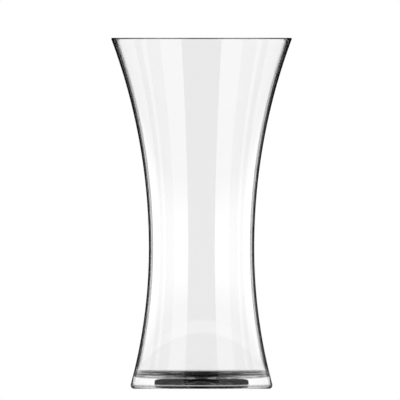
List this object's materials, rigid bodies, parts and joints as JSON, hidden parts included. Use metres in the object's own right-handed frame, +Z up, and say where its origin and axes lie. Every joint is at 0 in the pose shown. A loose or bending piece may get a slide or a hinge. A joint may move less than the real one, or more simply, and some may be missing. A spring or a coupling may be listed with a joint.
{
  "type": "hyacinth forcing vase",
  "caption": "Tall clear glass vase with a narrow waist, a flared mouth and a thick base, for a bulb or cut stems in water.",
  "frame": {"origin": "centre of the circle that the vase stands on, at table level", "axes": "+Z up along the axis of the vase; it is round, so +X and +Y are free"},
  "size_m": [0.1046, 0.1046, 0.203],
  "materials": {
    "clear_glass": "clear colourless blown glass, fire-polished"
  },
  "bodies": {
    "root": {"glass_vase": "clear_glass"}
  },
  "joints": []
}
